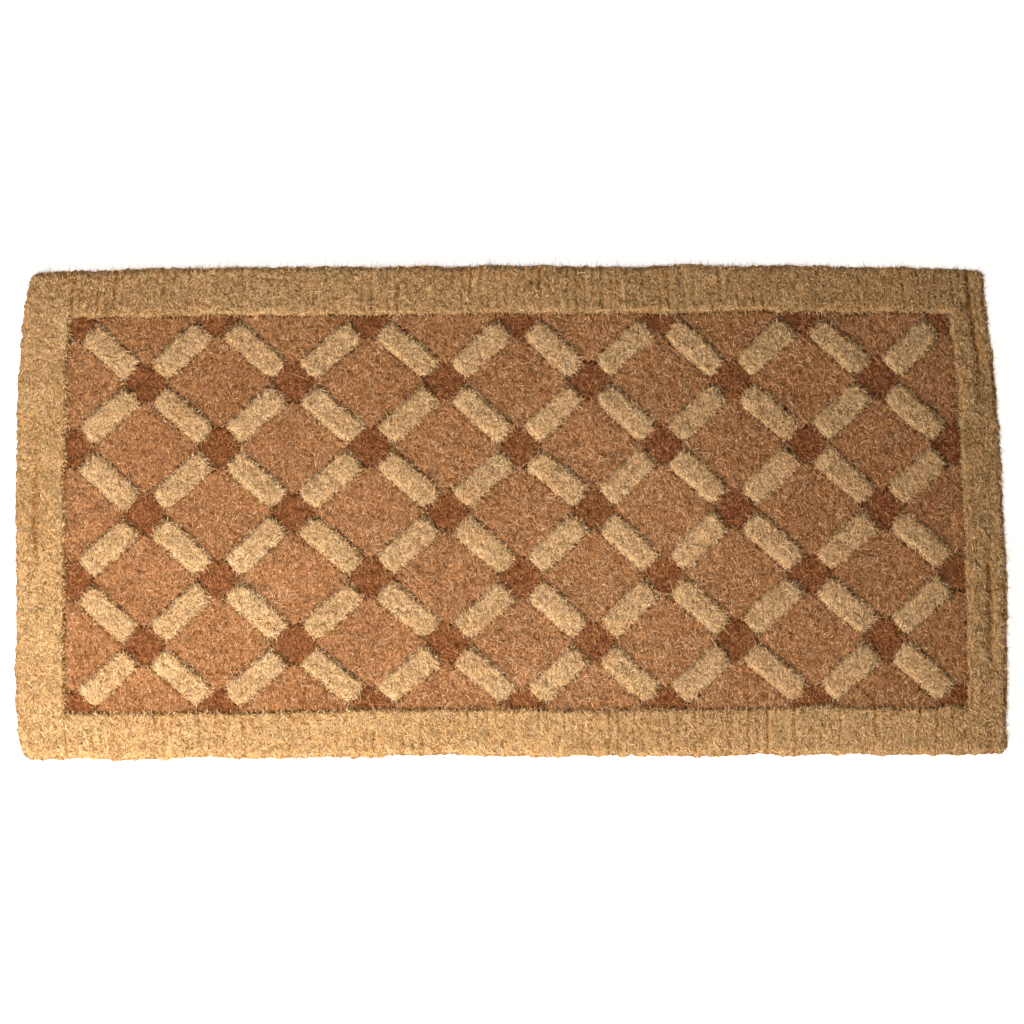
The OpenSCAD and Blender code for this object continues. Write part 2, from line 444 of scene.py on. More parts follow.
# The coir of each kind of pile: its name, its colour, its painted crease shade, and its straw
COIR = {
    BORDER: ("border", NATURAL, CREASE_SHADE_NATURAL, STRAW),
    BAR: ("bar", BAR_NATURAL, CREASE_SHADE_NATURAL, STRAW),
    CROSSING: ("brown", BROWN, CREASE_SHADE_BROWN, TAN_STRAW),
    PANEL: ("tan", TAN, CREASE_SHADE_TAN, STRAW),
}
YARN = (0.36, 0.19, 0.075)
BRAID = (0.34, 0.19, 0.08)
TWINE = (0.52, 0.40, 0.24)


def scaled(colour, factor, warm=0.0):
    """A colour made darker or paler, and warmer or cooler."""
    r, g, b = (c * factor for c in colour)
    return (min(r * (1 + warm), 1), g, b * (1 - warm), 1)


class Nodes:
    """A small helper that adds nodes to a material and links them by name."""

    def __init__(self, name):
        self.material = bpy.data.materials.new(name)
        self.material.use_nodes = True
        self.tree = self.material.node_tree
        self.shader = self.tree.nodes["Principled BSDF"]

    def add(self, kind, **inputs):
        node = self.tree.nodes.new(kind)
        for key, value in inputs.items():
            self.put(node.inputs[key], value)
        return node

    def put(self, socket, value):
        if isinstance(value, bpy.types.NodeSocket):
            self.tree.links.new(value, socket)
        else:
            socket.default_value = value

    def noise(self, vector, scale, detail=2.0, roughness=0.5):
        return self.add(
            "ShaderNodeTexNoise", Vector=vector, Scale=scale, Detail=detail, Roughness=roughness
        ).outputs["Fac"]

    def span(self, value, from_low, from_high, low, high):
        node = self.add("ShaderNodeMapRange")
        for socket, v in zip(node.inputs, (value, from_low, from_high, low, high)):
            self.put(socket, v)
        return node.outputs["Result"]

    def math(self, operation, a, b):
        node = self.add("ShaderNodeMath")
        node.operation = operation
        self.put(node.inputs[0], a)
        self.put(node.inputs[1], b)
        return node.outputs["Value"]

    def mix(self, factor, a, b, blend="MIX"):
        node = self.add("ShaderNodeMix")
        node.data_type = "RGBA"
        node.blend_type = blend
        self.put(node.inputs["Factor"], factor)
        self.put(node.inputs["A"], a)
        self.put(node.inputs["B"], b)
        return node.outputs["Result"]

    def stretched(self, vector, scale, angle=0.0):
        node = self.add("ShaderNodeMapping", Vector=vector)
        node.inputs["Rotation"].default_value = (0, 0, angle)
        node.inputs["Scale"].default_value = scale
        return node.outputs["Vector"]

    def attribute(self, name):
        node = self.add("ShaderNodeAttribute")
        node.attribute_name = name
        return node.outputs["Fac"]


# What the pile's colour is multiplied by on its dullest tufts, and as painted shade between its fibres
DIM_TUFT = (0.82, 0.82, 0.82, 1)
SHADE_BETWEEN_FIBRES = (0.3, 0.21, 0.13, 1)


def fibre_streaks(n, place, cells, across):
    """Short parallel streaks that turn another way in each small cell, as cut fibre ends lie."""
    voronoi = n.add("ShaderNodeTexVoronoi", Vector=place, Scale=cells)
    turn = n.add("ShaderNodeSeparateColor", Color=voronoi.outputs["Color"])
    angle = n.math("MULTIPLY", turn.outputs["Red"], math.pi)
    rotate = n.add("ShaderNodeVectorRotate", Vector=place, Angle=angle)
    rotate.rotation_type = "Z_AXIS"
    return n.noise(n.stretched(rotate.outputs["Vector"], (across, across * 0.16, across * 0.4)), 1, 2, 0.6)


def pile_material(name, colour, deep):
    """Clipped coir: patches, tufts, crossed fibre streaks, painted shade between the streaks and in the
    creases, and flecks of husk.
    """
    n = Nodes(name)
    place = n.add("ShaderNodeTexCoord").outputs["Object"]
    patches = n.noise(place, 14, 4)
    long_streaks = fibre_streaks(n, place, 150, 900)
    short_streaks = fibre_streaks(n, place, 240, 1500)
    streak = n.math("ADD", n.math("MULTIPLY", long_streaks, 0.55), n.math("MULTIPLY", short_streaks, 0.45))
    base = n.mix(n.span(patches, 0.3, 0.7, 0.0, 1.0), scaled(colour, 0.84, 0.05), scaled(colour, 1.12, -0.03))
    tufts = n.span(n.attribute("tuft_tone"), -1.0, 1.0, 0.0, 1.0)
    base = n.mix(tufts, n.mix(1.0, base, DIM_TUFT, "MULTIPLY"), base)
    # Painted shade between the fibre streaks
    base = n.mix(n.span(streak, 0.4, 0.6, 0.0, 1.0), n.mix(1.0, base, SHADE_BETWEEN_FIBRES, "MULTIPLY"), base)
    # Painted shade: the crease attribute draws the colour towards a warm dark brown
    base = n.mix(n.span(n.attribute("crease"), 0.0, 1.0, 0.0, 0.65), base, (*deep, 1))
    flecks = n.span(n.noise(place, 420, 1), 0.7, 0.74, 0.0, 0.7)
    base = n.mix(flecks, base, scaled(colour, 0.16, 0.1))
    n.put(n.shader.inputs["Base Color"], base)
    n.put(n.shader.inputs["Roughness"], n.span(streak, 0.3, 0.7, 0.95, 0.78))
    n.shader.inputs["Specular IOR Level"].default_value = 0.03
    bump = n.add("ShaderNodeBump", Strength=1.0, Distance=0.0011, Height=streak)
    n.put(n.shader.inputs["Normal"], bump.outputs["Normal"])
    return n.material


def fibre_material(name, colour):
    """One shade of bare fibre. A fibre is thinner than a pixel, so its shade is even along it."""
    n = Nodes(name)
    n.shader.inputs["Base Color"].default_value = colour
    n.shader.inputs["Roughness"].default_value = 0.62
    n.shader.inputs["Specular IOR Level"].default_value = 0.04
    return n.material


def yarn_material(name, colour, twist):
    """Spun yarn: fine fibre streaks that follow the twist, painted shade between them, and darker and lighter
    lengths.
    """
    n = Nodes(name)
    place = n.add("ShaderNodeTexCoord").outputs["Object"]
    lengths = n.noise(place, 45, 2)
    hairs = n.noise(n.stretched(place, (700, 700, 700), twist), 1, 4, 0.7)
    base = n.mix(n.span(lengths, 0.35, 0.65, 0.0, 1.0), scaled(colour, 0.75), scaled(colour, 1.2))
    # Painted shade between the hairs
    shade_between_hairs = n.mix(1.0, base, (0.45, 0.42, 0.38, 1), "MULTIPLY")
    base = n.mix(n.span(hairs, 0.35, 0.65, 0.0, 1.0), shade_between_hairs, base)
    n.put(n.shader.inputs["Base Color"], base)
    n.put(n.shader.inputs["Roughness"], n.span(hairs, 0.3, 0.7, 0.95, 0.75))
    n.shader.inputs["Specular IOR Level"].default_value = 0.25
    bump = n.add("ShaderNodeBump", Strength=0.8, Distance=0.0006, Height=hairs)
    n.put(n.shader.inputs["Normal"], bump.outputs["Normal"])
    return n.material


# Each shade of fibre: brightness, and how far it leans towards pale straw
SHADES = ((0.2, 0.0), (0.42, 0.0), (0.7, 0.02), (1.0, 0.08), (1.25, 0.2), (1.4, 0.4), (1.5, 0.75))
# The shade that is the coir's own colour
OWN_SHADE = 3
# Some tufts are ruddier: how much less green and blue they have
RUDDY = (0.87, 0.78)


# How a fibre's red, green and blue fall off with its brightness: below 0.5, below 0.8 and above
WARM_EXPONENTS = ((1.0, 1.35, 2.2), (1.0, 1.25, 1.65), (1.0, 1.0, 1.0))


def fibre_shades(name, colour, straw):
    """A set of fibre shades from dark to pale. Darker fibre is also a warmer brown."""
    shades = []
    for k, (brightness, pale) in enumerate(SHADES):
        warm = WARM_EXPONENTS[int(brightness >= 0.5) + int(brightness >= 0.8)]
        mixed = [(c + (s - c) * pale) * brightness ** w for c, s, w in zip(colour, straw, warm)]
        shades.append(fibre_material(f"{name}_{k + 1}", (*mixed, 1)))
    for k, plain in enumerate(list(shades)):
        r, g, b, _ = plain.node_tree.nodes["Principled BSDF"].inputs["Base Color"].default_value
        shades.append(fibre_material(f"{name}_ruddy_{k + 1}", (r, g * RUDDY[0], b * RUDDY[1], 1)))
    return shades


# ---- pile blocks ----

STEP = 1.6 * MM
WALL_LEVELS = (0.0, 0.18, 0.4, 0.65, 0.85, 1.0)
PILE_FOOT = BASE_TOP + 1.0 * MM
SIDE_TUCK = 5 * MM
SIDE_BULGE = 2 * MM
GROOVE_DEPTH = 1.2 * MM
# Painted shade on the walls of the carved grooves
GROOVE_SHADE = 0.45
SNAP_LIMIT = 2 * STEP
# How far the cut pile spreads past the drawn outline of its block
SPREAD = {BORDER: 0.6 * MM, BAR: 1.5 * MM, CROSSING: 0.0, PANEL: 0.0}
# How much more ragged the mat's own outline is than the blocks inside it
OUTER_FRAY = 1.6


def side_tuck(level, ribs=0.0):
    """How far in the outer face is at a level from 0 at its rim to 1 at the foot."""
    return SIDE_TUCK * level ** 1.5 - SIDE_BULGE * np.sin(np.pi * level) * (1 + 0.5 * ribs)


def grid_points():
    nx, ny = round(2 * HALF_L / STEP), round(2 * HALF_W / STEP)
    even_x, even_y = np.linspace(-HALF_L, HALF_L, nx + 1), np.linspace(-HALF_W, HALF_W, ny + 1)
    x, y = np.meshgrid(even_x, even_y, indexing="ij")
    jitter = seeded(0).uniform(-0.22, 0.22, (2, *x.shape)) * STEP
    jitter[:, [0, -1], :] = 0
    jitter[:, :, [0, -1]] = 0
    return x + jitter[0], y + jitter[1]


def piece_outline(kind, row, x, y):
    """Depth inside the blocks of one piece, with straight seams where border pieces meet."""
    if kind != BORDER:
        return DEPTHS[kind](x, y)
    to_left, to_right = FIELD_LOW[0] - x, x - FIELD_HIGH[0]
    own = (
        np.minimum(np.minimum(-to_left, -to_right), FIELD_LOW[1] - y),
        np.minimum(np.minimum(-to_left, -to_right), y - FIELD_HIGH[1]),
        to_left,
        to_right,
    )[row]
    return np.minimum(own, outline_depth(x, y))


def snap_to_outline(kind, row, x, y):
    """Moves points on a block's ragged grid edge to its true outline; also gives the way out."""
    outline = functools.partial(piece_outline, kind, row)
    here = outline(x, y)
    gx, gy = slope(outline, x, y, 0.1 * MM)
    length = np.maximum(np.hypot(gx, gy), 1e-6)
    gx, gy = gx / length, gy / length
    seam = (kind == BORDER) & ~by_field(x, y) & (outline_depth(x, y) > STEP)
    fray = smooth_noise(x, y, 4.5 * MM, 51 + kind) + smooth_noise(x, y, 10 * MM, 56 + kind)
    fray = fray * np.where(outline_depth(x, y) < STEP, OUTER_FRAY, 1.0)
    move = np.clip(here + np.where(seam, 0, fray * MM + SPREAD[kind]), -SNAP_LIMIT, SNAP_LIMIT)
    return x - gx * move, y - gy * move, -gx, -gy


def by_field(x, y):
    return np.abs(field_depth(x, y)) < 2 * STEP


def closed_loops(starts, ends):
    """Chains directed edges into closed loops of point numbers."""
    following = {}
    for a, b in zip(starts.tolist(), ends.tolist()):
        following.setdefault(a, []).append(b)
    loops = []
    while following:
        first = next(iter(following))
        loop, here = [], first
        while True:
            loop.append(here)
            after = following[here].pop()
            if not following[here]:
                del following[here]
            here = after
            if here == first:
                break
        loops.append(loop)
    return loops


def cell_quads(cells, ny):
    """The numbers of the grid points that some cells use, and the cells as quads of those points."""
    i, j = np.nonzero(cells)
    corner = i * ny + j
    quads = np.stack([corner, corner + ny, corner + ny + 1, corner + 1], 1)
    used, quads = np.unique(quads, return_inverse=True)
    return used, quads.reshape(-1, 4)


def open_edges(quads, count):
    """The directed edges that belong to one quad only."""
    edges = np.concatenate([quads[:, [k, (k + 1) % 4]] for k in range(4)])
    forward = edges[:, 0] * count + edges[:, 1]
    backward = edges[:, 1] * count + edges[:, 0]
    return edges[~np.isin(forward, backward)]


def wall_rings(kind, raw, rim, out, rim_z):
    """Rings of points that lead from a block's rim down to its foot, each with its crease shade.

    Inside the mat the carved groove closes just below the rim, where neighbouring blocks share
    the grid's own (raw) edge. The outer face bulges and then tucks in over the edging.
    """
    groove = (kind != BORDER) | by_field(*raw)
    outer = ~groove & (outline_depth(*raw) < STEP)
    low_x, low_y = hand_made(*np.where(groove, raw, rim))
    foot_z = PILE_FOOT if kind == BORDER else BASE_TOP
    ribs = smooth_noise(rim[0] + rim[1], rim[0] * 0, 5 * MM, 41)
    rings, creases = [], []
    for level in WALL_LEVELS[1:]:
        tuck = np.where(outer, side_tuck(level, ribs), 0)
        inner_z = np.maximum(rim_z - GROOVE_DEPTH, foot_z + 1 * MM) * (1 - level) + foot_z * level
        outer_z = rim_z * (1 - level) + foot_z * level
        ring_z = np.where(groove, np.where(level == 1, foot_z, inner_z), outer_z)
        rings.append(np.stack([low_x - out[0] * tuck, low_y - out[1] * tuck, ring_z], 1))
        # Painted shade: the outer face darkens towards its foot and with its ribs
        creases.append(np.where(outer, 0.25 + 0.35 * level + 0.25 * ribs, GROOVE_SHADE))
    return rings, creases


def wall_faces(rim_edges, rim, top_count):
    """The quads of a block's walls, ring by ring, and one flat face under each block."""
    place = np.full(top_count, -1)
    place[rim] = np.arange(len(rim))
    above = rim_edges
    faces = []
    for k in range(len(WALL_LEVELS) - 1):
        below = place[rim_edges] + top_count + k * len(rim)
        faces.append(np.stack([above[:, 1], above[:, 0], below[:, 0], below[:, 1]], 1))
        above = below
    feet = [np.array([loop[::-1]]) for loop in closed_loops(*above.T)]
    return faces + feet


def block_piece(name, kind, row, cells, x, y, material):
    """The blocks of one piece: the clipped top, walls down to the base and a flat foot."""
    used, quads = cell_quads(cells, y.shape[1])
    px, py = x.ravel()[used], y.ravel()[used]
    rim_edges = open_edges(quads, len(used))
    rim = np.unique(rim_edges)
    raw = px[rim], py[rim]
    px[rim], py[rim], *out = snap_to_outline(kind, row, *raw)
    z, tone, crease = pile_surface(px, py, np.full(px.shape, kind), np.maximum(DEPTHS[kind](px, py), 0))
    top = np.stack([*hand_made(px, py), z], 1)
    rings, creases = wall_rings(kind, raw, (px[rim], py[rim]), out, z[rim])
    faces = [quads, *wall_faces(rim_edges, rim, len(used))]
    piece = mesh_object(name, np.concatenate([top, *rings]), faces, [material])
    add_attribute(piece, "tuft_tone", np.concatenate([tone, *[tone[rim]] * len(rings)]))
    add_attribute(piece, "crease", np.clip(np.concatenate([crease, *creases]), 0, 1))
    return piece


def node_name(kind, row):
    if kind == BORDER:
        return f"pile_border_{BORDER_SIDES[row]}"
    return f"pile_{('', 'bars', 'crossings', 'panels')[kind]}_row_{row + 1}"


PIECES = [(BORDER, r) for r in range(4)]
PIECES += [(BAR, r) for r in range(ROWS)]
PIECES += [(k, r) for k in (CROSSING, PANEL) for r in range(ROWS + 1)]
SLOTS = {BORDER: "natural_coir", BAR: "natural_coir", CROSSING: "brown_coir", PANEL: "tan_coir"}


def make_pile():
    materials = {k: pile_material("coir_pile_" + name, *colours) for k, (name, *colours, _) in COIR.items()}
    x, y = grid_points()
    middle_x = (x[1:, 1:] + x[:-1, 1:] + x[1:, :-1] + x[:-1, :-1]) / 4
    middle_y = (y[1:, 1:] + y[:-1, 1:] + y[1:, :-1] + y[:-1, :-1]) / 4
    kind, row, _ = kind_and_row(middle_x, middle_y)
    inside = outline_depth(middle_x, middle_y) > 0
    for k, r in PIECES:
        cells = (kind == k) & (row == r) & inside
        node = node_name(k, r)
        piece = block_piece("clipped_" + node, k, r, cells, x, y, materials[k])
        declare(piece, SLOTS[k], node)


# ---- fibres ----

NAP_SPACING = 2.0 * MM
LOOSE_COUNT = 60000
# The part of the mat where most fibres have come loose
WORN_AT = (0.22 * HALF_L, -0.35 * HALF_W)
WORN_REACH = 0.45
SIDE_COUNT = 12000
FLECK_SHARE = 0.03
# How many shades apart neighbouring fibres and tufts are, and how many shades darker painted shade makes a
# fibre in a crease
FIBRE_CONTRAST = 1.9
TUFT_CONTRAST = 0.6
CREASE_CONTRAST = 1.5
# Above these, on scales that end near 1, a patch is dark husk or a fibre is one of the ruddy ones
HUSK_ABOVE = 0.84
RUDDY_ABOVE = 0.15
# Lengths and radii of the fibres, in millimetres
NAP_LENGTHS = (3.8, 9.0)
NAP_RADII = (0.18, 0.34)
LOOSE_LENGTHS = (3, 17)
USUAL_LOOSE_LENGTH = 7
LOOSE_RADII = (0.13, 0.24)
SIDE_LENGTHS = (5, 13)
SIDE_RADII = (0.2, 0.34)
# The share of the nap that lies along the pile rows and not just anyhow
COMBED_SHARE = 0.55
# Close to the edge of a block the fibres stand twice as close and lean out over the groove
FRINGE_REACH = 2.5 * MM


def fibre_mesh(name, roots, ways, bends, lengths, radii, materials, shades, rings):
    """Tapered three-sided fibres. Each is a quadratic curve from its root, closed at both ends."""
    count = len(roots)
    helper = np.where(np.abs(ways[:, 2:3]) < 0.8, [[0, 0, 1.0]], [[1.0, 0, 0]])
    side = unit(np.cross(ways, helper))
    other = np.cross(ways, side)
    points = np.empty((count, 3 * rings + 1, 3))
    for k in range(rings + 1):
        t = k / rings
        centre = roots + lengths[:, None] * (ways * t + bends * t * t)
        if k == rings:
            points[:, -1] = centre
            break
        for corner in range(3):
            angle = corner * 2 * math.pi / 3
            reach = radii[:, None] * (1 - 0.35 * t)
            points[:, 3 * k + corner] = centre + reach * (side * math.cos(angle) + other * math.sin(angle))
    quads, tris = [], [[0, 1, 2]]
    for k in range(rings - 1):
        for c in range(3):
            d = (c + 1) % 3
            quads.append([3 * k + d, 3 * k + c, 3 * k + 3 + c, 3 * k + 3 + d])
    for c in range(3):
        tris.append([3 * rings - 3 + (c + 1) % 3, 3 * rings - 3 + c, 3 * rings])
    offset = (np.arange(count) * (3 * rings + 1))[:, None, None]
    quads = (np.array(quads)[None] + offset).reshape(-1, 4)
    tris = (np.array(tris)[None] + offset).reshape(-1, 3)
    indices = np.concatenate([np.repeat(shades, 3 * (rings - 1)), np.repeat(shades, 4)])
    return mesh_object(name, points.reshape(-1, 3), [quads, tris], materials, indices)


def fibre_piece(name, slot, own, fibres, materials, shades, rings):
    """One piece of those fibres that are its own."""
    piece = fibre_mesh(name, *(values[own] for values in fibres), materials, shades[own], rings)
    declare(piece, slot)


def way_out(x, y, kind):
    """Which way the nearest edge of the block lies, from a point on it."""
    way_in = np.zeros((2, *x.shape))
    for k, depth in DEPTHS.items():
        own = kind == k
        way_in[:, own] = slope(depth, x[own], y[own], 0.2 * MM)
    return -way_in


def nap_fibres(rng):
    """The bent ends of the cut fibres, which cover the pile and hang out over the carved grooves."""
    nx, ny = int(2 * HALF_L / NAP_SPACING), int(2 * HALF_W / NAP_SPACING)
    i, j = (np.tile(g.ravel(), 2) for g in np.meshgrid(np.arange(nx), np.arange(ny), indexing="ij"))
    x = -HALF_L + (i + rng.uniform(0, 1, len(i))) * NAP_SPACING
    y = -HALF_W + (j + rng.uniform(0, 1, len(i))) * NAP_SPACING
    kind, _, depth = kind_and_row(x, y)
    keep = (outline_depth(x, y) > 0.3 * MM) & ((np.arange(len(x)) < nx * ny) | (depth < FRINGE_REACH))
    x, y, kind, depth = x[keep], y[keep], kind[keep], depth[keep]
    turn = np.where(
        rng.uniform(0, 1, len(x)) < COMBED_SHARE,
        rng.choice([-0.5, 0.5], len(x)) * math.pi + rng.normal(0, 0.4, len(x)),
        rng.uniform(0, 2 * math.pi, len(x)),
    )
    out_x, out_y = way_out(x, y, kind)
    lean = 1.1 * (1 - smoothstep(0, 4 * MM, depth))
    rise = np.clip(rng.normal(0.5, 0.28, len(x)), 0.08, 1.4)
    ways = unit(np.stack([np.cos(turn) + lean * out_x, np.sin(turn) + lean * out_y, rise], 1))
    bends = rng.normal(0, 0.2, (len(x), 3))
    bends[:, 2] = -ways[:, 2] * rng.uniform(0.35, 0.8, len(x))
    lengths = rng.uniform(*NAP_LENGTHS, len(x)) * np.where(kind == BORDER, 1.1, 1.0) * MM
    radii = rng.uniform(*NAP_RADII, len(x)) * MM
    fleck = rng.uniform(0, 1, len(x)) < FLECK_SHARE
    lengths = np.where(fleck, 0.4 * lengths, lengths)
    radii = np.where(fleck, 2 * radii, radii)
    return x, y, -0.4 * MM, ways, bends, lengths, radii, fleck


def loose_fibres(rng):
    """Fibres that have come free at one end and lie across the pile in any direction."""
    x = rng.uniform(-HALF_L, HALF_L, LOOSE_COUNT)
    y = rng.uniform(-HALF_W, HALF_W, LOOSE_COUNT)
    keep = (outline_depth(x, y) > 1 * MM) & (rng.uniform(0, 1, LOOSE_COUNT) < 0.3 + 0.7 * looseness(x, y))
    x, y = x[keep], y[keep]
    turn = rng.uniform(0, 2 * math.pi, len(x))
    rise = np.clip(rng.normal(0.22, 0.16, len(x)), 0.02, 0.7)
    ways = unit(np.stack([np.cos(turn), np.sin(turn), rise], 1))
    bends = rng.normal(0, 0.3, (len(x), 3))
    bends[:, 2] = -ways[:, 2] * rng.uniform(0.3, 1.0, len(x))
    lengths = rng.lognormal(math.log(USUAL_LOOSE_LENGTH), 0.4, len(x))
    lengths = np.clip(lengths, *LOOSE_LENGTHS) * MM
    radii = rng.uniform(*LOOSE_RADII, len(x)) * MM
    return x, y, 0.3 * MM, ways, bends, lengths, radii, np.zeros(len(x), bool)


def looseness(x, y):
    return np.exp(-((x - WORN_AT[0]) ** 2 + (y - WORN_AT[1]) ** 2) / WORN_REACH ** 2)


def grow(prefix, palettes, source, rings, rng, worn_paler=0.0):
    """Makes one fibre piece for each pile piece from one set of fibres."""
    x, y, lift, ways, bends, lengths, radii, fleck = source
    kind, row, depth = kind_and_row(x, y)
    z, tone, crease = pile_surface(x, y, kind, np.maximum(depth, 0))
    wx, wy = hand_made(x, y)
    roots = np.stack([wx, wy, z + lift], 1)
    shades = OWN_SHADE + worn_paler * looseness(x, y) + FIBRE_CONTRAST * rng.normal(size=len(x))
    # Painted shade: fibres in creases are drawn darker
    shades = shades + TUFT_CONTRAST * tone - CREASE_CONTRAST * crease
    husk = smooth_noise(x, y, 3.5 * MM, 72) > HUSK_ABOVE
    shades = np.where(fleck, 0, np.where(husk, 1, np.clip(np.round(shades), 0, len(SHADES) - 1)))
    ruddiness = 0.7 * smooth_noise(x, y, 9 * MM, 71) + 0.4 * tone + 0.3 * rng.normal(size=len(x))
    shades = shades + len(SHADES) * (ruddiness > RUDDY_ABOVE)
    fibres = roots, ways, bends, lengths, radii
    for k, r in PIECES:
        name = prefix + node_name(k, r).removeprefix("pile")
        fibre_piece(name, SLOTS[k], (kind == k) & (row == r), fibres, palettes[k], shades, rings)


def side_fibres(palette, rng):
    """Fibres up the outer face of the border, which give the mat its rough side."""
    sides = np.array([2 * HALF_L, 2 * HALF_W, 2 * HALF_L, 2 * HALF_W])
    along = rng.uniform(0, sides.sum(), SIDE_COUNT)
    side = np.minimum(np.searchsorted(np.cumsum(sides), along), 3)
    on = along - np.concatenate([[0], np.cumsum(sides)])[side]
    x = np.choose(side, [-HALF_L + on, HALF_L, HALF_L - on, -HALF_L])
    y = np.choose(side, [-HALF_W, -HALF_W + on, HALF_W, HALF_W - on])
    for _ in range(3):
        here = outline_depth(x, y)
        gx, gy = slope(outline_depth, x, y, 0.2 * MM)
        x, y = x - gx * here, y - gy * here
    level = rng.uniform(0.1, 1.0, SIDE_COUNT)
    tuck = side_tuck(level) + 0.3 * MM
    wx, wy = hand_made(x, y)
    rim_z, _, _ = pile_surface(x, y, np.full(x.shape, BORDER), np.zeros(x.shape))
    roots = np.stack([wx + gx * tuck, wy + gy * tuck, rim_z * (1 - level) + PILE_FOOT * level], 1)
    sideways = rng.normal(0, 0.25, SIDE_COUNT)
    out = rng.uniform(0.0, 0.35, SIDE_COUNT)
    ways = unit(np.stack([gy * sideways - gx * out, -gx * sideways - gy * out, np.ones(SIDE_COUNT)], 1))
    bends = rng.normal(0, 0.1, (SIDE_COUNT, 3))
    lengths = np.minimum(rng.uniform(*SIDE_LENGTHS, SIDE_COUNT), 3 + 16 * level) * MM
    radii = rng.uniform(*SIDE_RADII, SIDE_COUNT) * MM
    # Painted shade: the side fibres are drawn darker than the fibres on top
    shades = np.clip(np.round(2.4 + 1.6 * rng.normal(size=SIDE_COUNT)), 0, len(SHADES) - 1)
    fibres = roots, ways, bends, lengths, radii
    for k, name in enumerate(("front", "right", "back", "left")):
        fibre_piece(f"side_fibres_{name}", "natural_coir", side == k, fibres, palette, shades, 3)


def make_fibres():
    palettes = {}
    for kind, (name, colour, _, straw) in COIR.items():
        palettes[kind] = fibre_shades("coir_fibre_" + name, colour, straw)
    grow("nap", palettes, nap_fibres(seeded(1)), 2, seeded(2))
    grow("loose_fibres", palettes, loose_fibres(seeded(3)), 3, seeded(4), 2.2)
    side_fibres(palettes[BORDER], seeded(5))


# ---- woven base ----

YARN_PITCH = 12 * MM
YARN_SIDES = 8
# How far a yarn rises and falls; the lowest layer is raised by this to stay on the floor
YARN_WAVE = 0.3 * MM
PLY_TWIST = 17 * MM
KNOT_RINGS = 26
KNOT_SIDES = 6
WARP_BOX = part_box("lower_warp_chains")
WEFT_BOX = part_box("ground_weft")
LOCKING_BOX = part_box("locking_weft")
YARN_T = WARP_BOX[1].z
YARN_HALF_W = WARP_BOX[1].y - round((WARP_BOX[1].y - YARN_T / 2) / YARN_PITCH) * YARN_PITCH


def swept(name, paths, sections, material, first_side, closed=False):
    """Tubes along paths (count, rings, 3). Sections give each ring's corners across and up."""
    ahead = np.roll(paths, -1, 1) - np.roll(paths, 1, 1)
    if not closed:
        ahead[:, 0] = paths[:, 1] - paths[:, 0]
        ahead[:, -1] = paths[:, -1] - paths[:, -2]
    ahead = unit(ahead)
    count, rings, _ = paths.shape
    side = np.empty_like(paths)
    current = np.broadcast_to(np.asarray(first_side, float), (count, 3))
    for k in range(rings):
        current = unit(current - (current * ahead[:, k]).sum(1, keepdims=True) * ahead[:, k])
        side[:, k] = current
    up = np.cross(ahead, side)
    sections = np.broadcast_to(sections, (count, rings, *sections.shape[-2:]))
    points = paths[:, :, None] + sections[..., :1] * side[:, :, None] + sections[..., 1:] * up[:, :, None]
    sides = sections.shape[2]
    k, c = np.meshgrid(np.arange(rings if closed else rings - 1), np.arange(sides), indexing="ij")
    here, there, turned = k * sides, (k + 1) % rings * sides, (c + 1) % sides
    quads = np.stack([here + c, here + turned, there + turned, there + c], -1).reshape(-1, 4)
    offset = (np.arange(count) * rings * sides)[:, None, None]
    faces = [(quads[None] + offset).reshape(-1, 4)]
    if not closed:
        ends = np.stack([np.arange(sides)[::-1], (rings - 1) * sides + np.arange(sides)])
        faces.append((ends[None] + offset).reshape(-1, sides))
    return mesh_object(name, points.reshape(-1, 3), faces, [material])


def plied(half_w, half_h, travel, groove=0.2, plies=2, sides=YARN_SIDES):
    """Sections of a yarn of twisted plies: an ellipse with a groove that winds along the yarn."""
    angle = np.arange(sides) * 2 * np.pi / sides
    wind = plies * angle - 2 * np.pi * np.asarray(travel)[..., None] / PLY_TWIST
    reach = 1 - groove * (0.5 + 0.5 * np.cos(wind)) ** 2
    return np.stack([half_w * reach * np.cos(angle), half_h * reach * np.sin(angle)], -1)


def moved(paths):
    """The base was made by the same hands as the pile, so it is out of square with it."""
    x, y = hand_made(paths[..., 0], paths[..., 1])
    return np.stack([x, y, paths[..., 2]], -1)


def yarns(name, node, places, half_length, level, spacing, along_x, material):
    """One layer of parallel yarns that rise and fall past the yarns they cross."""
    rings = int(2 * half_length / spacing)
    travel = np.linspace(-half_length, half_length, rings)
    t, place = np.meshgrid(travel, places)
    wave = YARN_WAVE * np.cos(np.pi * (t + place) / YARN_PITCH)
    z = (level + 0.5) * YARN_T + wave + (YARN_WAVE if level == 0 else 0)
    sway = 0.5 * MM * smooth_noise(t + 3, place * 5, 40 * MM, 61)
    x, y = (t, place + sway) if along_x else (place + sway, t)
    # The twist of each yarn starts somewhere else
    phase = travel[None] + 40 * MM * np.sin(places * 977)[:, None]
    sections = plied(YARN_HALF_W, YARN_T / 2, phase)
    first_side = (0, 1, 0) if along_x else (-1, 0, 0)
    piece = swept(name, moved(np.stack([x, y, z], -1)), sections, material, first_side)
    declare(piece, "base_yarn", node)


def yarn_places(reach, every):
    """Middles of a layer's yarns, a few pitches apart, the last of which ends at reach."""
    last = round((reach - YARN_HALF_W) / YARN_PITCH)
    return np.arange(-last, last + 1, every) * YARN_PITCH


